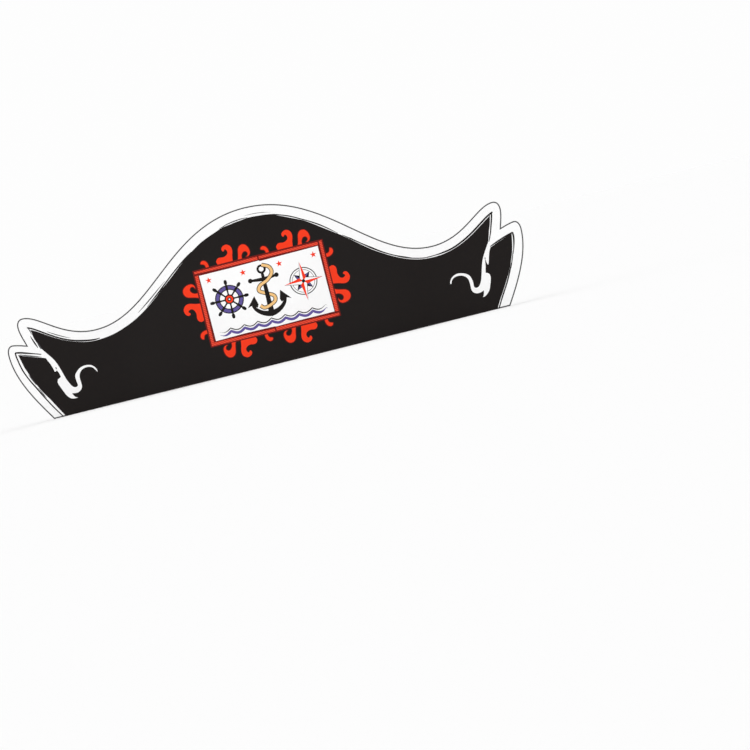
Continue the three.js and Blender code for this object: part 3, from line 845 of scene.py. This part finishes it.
# The flat card as one closed mesh: x along it, y through it and z up
def flatCard(name, drawing):
    half, rounded = card["thick"] / 2, card["roundedEdge"]
    drawing = [(ink, unrolled(loop)) for ink, loop in drawing]
    flat, printed, ink, _ = cutFace(movedLeft(unrolled(outline), rounded), drawing)
    rim = rimOf(printed)
    edge = flat[rim]
    backFlat, plain, _, came = cutFace(edge, [])
    backRim = {given: i for i, sources in enumerate(came) for given in sources if given < len(rim)}
    outer = movedLeft(edge, -rounded)
    outward = (outer - edge) / np.linalg.norm(outer - edge, axis=1)[:, None]

    rows = [(flat, -half), (outer, rounded - half), (outer, half - rounded), (backFlat, half)]
    starts = np.cumsum([0] + [len(p) for p, y in rows])
    places = np.concatenate([np.insert(p, 1, y, axis=1) for p, y in rows])
    facing = np.zeros(places.shape)
    facing[:starts[1], 1] = -1
    facing[starts[1]:starts[3]] = np.insert(np.tile(outward, (2, 1)), 1, 0, axis=1)
    facing[starts[3]:, 1] = 1
    depth = (places[:, 1] + half) / card["thick"]

    ring = np.arange(len(rim))
    backRing = np.array([backRim[i] for i in ring])
    rings = [np.array(rim), starts[1] + ring, starts[2] + ring, starts[3] + backRing]
    walls = [np.stack([a, b, np.roll(b, -1), np.roll(a, -1)], 1) for a, b in zip(rings, rings[1:])]
    faces = [*printed.tolist(), *(plain[:, ::-1] + starts[3]).tolist(), *np.concatenate(walls).tolist()]
    mesh = bpy.data.meshes.new(name)
    mesh.from_pydata((places * mm).tolist(), [], faces)

    slots = np.concatenate([ink, np.full(len(plain), lining), np.zeros(3 * len(rim), int)])
    cut = np.arange(len(faces)) >= len(printed) + len(plain)
    mesh.polygons.foreach_set("material_index", slots)
    mesh.polygons.foreach_set("use_smooth", np.ones(len(faces), bool))
    mesh.attributes.new("cutEdge", "BOOLEAN", "FACE").data.foreach_set("value", cut)
    mesh.attributes.new("depth", "FLOAT", "POINT").data.foreach_set("value", depth)
    mesh.attributes.new("facing", "FLOAT_VECTOR", "POINT").data.foreach_set("vector", facing.ravel())

    low, high = outer.min(0), outer.max(0)
    corners = []
    for points, triangles, corner in ((flat, printed, "printedCorner"),
                                      (backFlat, plain[:, ::-1], "plainCorner")):
        mapped = (points - low) / (high - low) * bakeMap["size"] + bakeMap[corner]
        corners.append(mapped[triangles].reshape(-1, 2))
    along = np.linspace(*bakeMap["bandAlong"], len(rim) + 1)
    across = np.stack([along[:-1], along[:-1], along[1:], along[1:]], 1)
    bands = np.linspace(*bakeMap["bandUp"], len(walls) + 1)
    for below, above in zip(bands, bands[1:]):
        up = np.tile([below, above, above, below], (len(rim), 1))
        corners.append(np.stack([across, up], 2).reshape(-1, 2))
    mesh.uv_layers.new(name="OFBake").data.foreach_set("uv", np.concatenate(corners).ravel())
    for material in materials:
        mesh.materials.append(material)
    print(name, "cut:", len(faces), "faces")
    return mesh


# Geometry Nodes tree that bends a flat card along its bow. The bow's line in plan is summed from
# short steps whose turn follows a sine, so it leaves the glued end and the middle without a crease.
def bowTree():
    tree = bpy.data.node_groups.new("bowCard", "GeometryNodeTree")
    sockets = {"Card": "Geometry", "Seam At": "Float", "Steepest Turn": "Float",
               "End Offset": "Float", "Steps": "Int", "Cut Edge Board": "Material"}
    for name, kind in sockets.items():
        tree.interface.new_socket(name=name, in_out="INPUT", socket_type="NodeSocket" + kind)
    tree.interface.new_socket(name="Card", in_out="OUTPUT", socket_type="NodeSocketGeometry")
    given = addNode(tree, "NodeGroupInput").outputs

    def calc(operation, *values):
        return mathNode(tree, operation, *values)

    def vector(x, y, z):
        return addNode(tree, "ShaderNodeCombineXYZ", inputs={0: x, 1: y, 2: z}).outputs[0]

    # the bow's line, from the middle of the card to its glued end
    step = calc("DIVIDE", given["Seam At"], given["Steps"])
    index = addNode(tree, "GeometryNodeInputIndex").outputs[0]
    share = calc("DIVIDE", calc("ADD", index, 0.5), given["Steps"])
    lean = calc("MULTIPLY", calc("SINE", calc("MULTIPLY", share, math.pi)), given["Steepest Turn"])
    move = vector(*[calc("MULTIPLY", calc(wave, lean), step) for wave in ("COSINE", "SINE")], 0.0)
    summed = addNode(tree, "GeometryNodeAccumulateField", {"data_type": "FLOAT_VECTOR"}, {0: move})
    points = addNode(tree, "GeometryNodeMeshLine", inputs={"Count": calc("ADD", given["Steps"], 1)})
    laid = addNode(tree, "GeometryNodeSetPosition", inputs={
        "Geometry": points.outputs[0], "Position": summed.outputs["Trailing"]})
    line = addNode(tree, "GeometryNodeMeshToCurve", inputs={0: laid.outputs[0]}).outputs[0]

    def onLine(length):
        found = addNode(tree, "GeometryNodeSampleCurve", {"mode": "LENGTH"}, {
            "Curves": line, "Length": length})
        return split(tree, found.outputs["Position"])

    # each point goes to its place on the line, and keeps its distance through the card
    here = split(tree, addNode(tree, "GeometryNodeInputPosition").outputs[0])
    along = calc("ABSOLUTE", here["X"])
    side = calc("SIGN", here["X"])
    bowed = calc("MINIMUM", along, given["Seam At"])
    straight = calc("SUBTRACT", along, bowed)
    angle = calc("MULTIPLY", calc("DIVIDE", bowed, given["Seam At"]), math.pi)
    turn = calc("MULTIPLY", calc("MULTIPLY", calc("SINE", angle), given["Steepest Turn"]), side)
    spot, end = onLine(bowed), onLine(given["Seam At"])
    planX = calc("MULTIPLY", calc("ADD", spot["X"], straight), side)
    planY = calc("SUBTRACT", calc("SUBTRACT", spot["Y"], end["Y"]), given["End Offset"])
    x = calc("SUBTRACT", planX, calc("MULTIPLY", here["Y"], calc("SINE", turn)))
    y = calc("ADD", planY, calc("MULTIPLY", here["Y"], calc("COSINE", turn)))
    noted = addNode(tree, "GeometryNodeStoreNamedAttribute", {"data_type": "FLOAT"}, {
        "Geometry": given["Card"], "Name": "turn", "Value": turn}).outputs[0]
    bent = addNode(tree, "GeometryNodeSetPosition", inputs={
        "Geometry": noted, "Position": vector(x, y, here["Z"])}).outputs[0]
    whole = addNode(tree, "GeometryNodeRealizeInstances", inputs={0: bent}).outputs[0]
    cut = addNode(tree, "GeometryNodeInputNamedAttribute", {"data_type": "BOOLEAN"}, {
        "Name": "cutEdge"})
    dressed = addNode(tree, "GeometryNodeSetMaterial", inputs={
        "Geometry": whole, "Selection": cut.outputs[0], "Material": given["Cut Edge Board"]})
    addNode(tree, "NodeGroupOutput", inputs={0: dressed.outputs[0]})
    return tree


bow = bowTree()


# A printed card, bent by the tree; the back one is turned half way round
def bowedCard(name, node, drawing, halfTurn):
    flat = bpy.data.objects.new(name + "Flat", flatCard(name + "Flat", drawing))
    bpy.context.collection.objects.link(flat)
    modifier = flat.modifiers.new("bowCard", "NODES")
    modifier.node_group = bow
    values = {"Seam At": card["seamAt"] * mm, "Steepest Turn": card["steepestTurn"],
              "End Offset": (card["glueGap"] + card["thick"]) / 2 * mm, "Steps": card["bowSteps"],
              "Cut Edge Board": coreMaterial}
    for socket, value in values.items():
        modifier[bow.interface.items_tree[socket].identifier] = value
    depsgraph = bpy.context.evaluated_depsgraph_get()
    mesh = bpy.data.meshes.new_from_object(flat.evaluated_get(depsgraph), depsgraph=depsgraph)
    flat.modifiers.clear()
    bpy.data.objects.remove(flat)

    mesh.name = name
    turn = np.zeros(len(mesh.vertices))
    facing = np.zeros(3 * len(mesh.vertices))
    mesh.attributes["turn"].data.foreach_get("value", turn)
    mesh.attributes["facing"].data.foreach_get("vector", facing)
    facing = facing.reshape(-1, 3)
    if halfTurn:
        mesh.transform(Matrix.Rotation(math.pi, 4, "Z"))
        turn = turn + math.pi
    c, s = np.cos(turn), np.sin(turn)
    normals = np.stack([c * facing[:, 0] - s * facing[:, 1], s * facing[:, 0] + c * facing[:, 1],
                        facing[:, 2]], 1)
    for attribute in ("turn", "facing", "cutEdge"):
        mesh.attributes.remove(mesh.attributes[attribute])
    mesh.normals_split_custom_set_from_vertices(normals.tolist())

    piece = bpy.data.objects.new(name, mesh)
    bpy.context.collection.objects.link(piece)
    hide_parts(node)
    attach(piece, "root")
    print(name, "bowed:", len(mesh.polygons), "faces")


bowedCard("frontCard", "front_panel", frontLayers, False)
bowedCard("backCard", "back_panel", backLayers, True)


# A plain pale floor with no visible end, under an even pale sky and soft lamps too far off to fade.
# A lamp's row: where it stands from the hat, its strength, how many degrees wide it looks.
studio = {
    "floor": "#F4F4F4", "floorRadius": 400.0,
    "horizon": 0.985, "zenith": 0.75, "fade": (0.25, 0.9),
    "lamps": [((0, 0, 1), 0.155, 70), ((-0.5, -0.8, 0.55), 0.49, 50), ((0.8, -0.6, 0.35), 0.22, 60),
              ((0.5, 0.8, 0.55), 0.47, 50), ((-0.8, 0.6, 0.35), 0.2, 60)],
}


def layStage():
    made, tree, shader = newMaterial("paleFloor")
    feed(tree, shader, {
        "Base Color": linear(studio["floor"]), "Roughness": 1.0, "Specular IOR Level": 0.0})
    ring = disc((0, 0), studio["floorRadius"], 96)
    mesh = bpy.data.meshes.new("floor")
    mesh.from_pydata([(x, y, 0.0) for x, y in ring], [], [tuple(range(len(ring)))])
    mesh.materials.append(made)
    floor = bpy.data.objects.new("floor", mesh)
    bpy.context.collection.objects.link(floor)

    world = bpy.data.worlds.new("studioSky")
    bpy.context.scene.world = world
    world.use_nodes = True
    tree = world.node_tree
    up = split(tree, addNode(tree, "ShaderNodeTexCoord").outputs["Generated"])["Z"]
    bright = ranged(tree, up, *studio["fade"], studio["horizon"], studio["zenith"])
    feed(tree, tree.nodes["Background"], {"Color": (1, 1, 1, 1), "Strength": bright})
    for i, (towards, strength, wide) in enumerate(studio["lamps"]):
        lamp = bpy.data.lights.new("lamp%d" % i, "SUN")
        lamp.energy = strength
        lamp.angle = math.radians(wide)
        holder = bpy.data.objects.new(lamp.name, lamp)
        holder.location = Vector(towards) * 2
        holder.rotation_euler = Vector(towards).to_track_quat("Z", "Y").to_euler()
        bpy.context.collection.objects.link(holder)
    bpy.context.scene.view_settings.view_transform = "Standard"


layStage()

# The camera looks straight at the front, rolled so that the hat rises to the right as in the photo.
# The pixel is where the middle of the front's bottom edge lies in the 750 x 750 frame.
view = {"distance": 12.0, "height": 0.08, "rise": math.radians(13.94), "pixelsPerMm": 1.1577,
        "frame": 750, "bottomMiddle": (282.4, 362.5), "sensor": 36.0}


def placeCamera():
    c, s = math.cos(view["rise"]), math.sin(view["rise"])
    right, up = Vector((c, 0, -s)), Vector((s, 0, c))
    half = view["frame"] / 2
    px = mm / view["pixelsPerMm"]
    target = right * (half - view["bottomMiddle"][0]) * px - up * (half - view["bottomMiddle"][1]) * px
    place = Vector((0, -view["distance"], view["height"]))
    ahead = (target - place).normalized()
    right = (right - ahead * right.dot(ahead)).normalized()
    up = right.cross(ahead)
    lens = bpy.data.cameras.new("camera")
    lens.sensor_width = view["sensor"]
    lens.lens = view["sensor"] * view["distance"] / (view["frame"] * px)
    camera = bpy.data.objects.new("camera", lens)
    camera.matrix_world = Matrix((right, up, -ahead)).transposed().to_4x4()
    camera.location = place
    bpy.context.collection.objects.link(camera)
    bpy.context.scene.camera = camera


placeCamera()
print("stage, lights and camera set")
